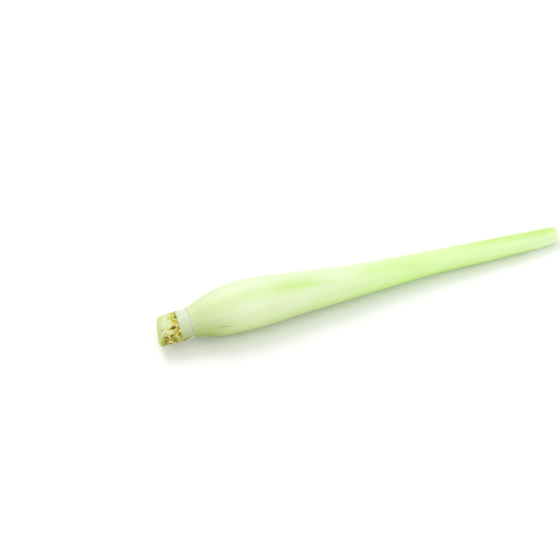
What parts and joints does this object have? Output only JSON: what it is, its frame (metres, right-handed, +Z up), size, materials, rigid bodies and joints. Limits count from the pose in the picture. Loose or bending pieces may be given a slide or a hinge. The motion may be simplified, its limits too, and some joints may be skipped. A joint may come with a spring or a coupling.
{
  "type": "lemongrass stalk",
  "caption": "Trimmed stalk of lemongrass lying on its side: a pale bulb with a scarred root stub, tapering into tightly rolled green leaf sheaths that are cut off square.",
  "frame": {"origin": "middle of the stalk's box, on the surface that it lies on", "axes": "+X along the stalk from its root end to its cut top, +Z up"},
  "size_m": [0.213, 0.0256, 0.0244],
  "materials": {
    "basal_stem": "cream stem end, rough with brown and golden root scars, and a smooth pale green cut face",
    "old_sheath_stump": "white, waxy, with a torn edge",
    "outer_sheath": "fresh leaf sheath, cream at the bulb and yellow-green above, satin, with fine lengthwise veins",
    "inner_sheaths": "pale yellow-green cut layers, matt and moist",
    "heart_leaf": "the greener rolled heart"
  },
  "bodies": {
    "root": {"basal_stem": "basal_stem", "old_sheath_stump": "old_sheath_stump", "outer_sheath": "outer_sheath", "second_sheath": "inner_sheaths", "third_sheath": "inner_sheaths", "heart_leaf": "heart_leaf"}
  },
  "joints": []
}
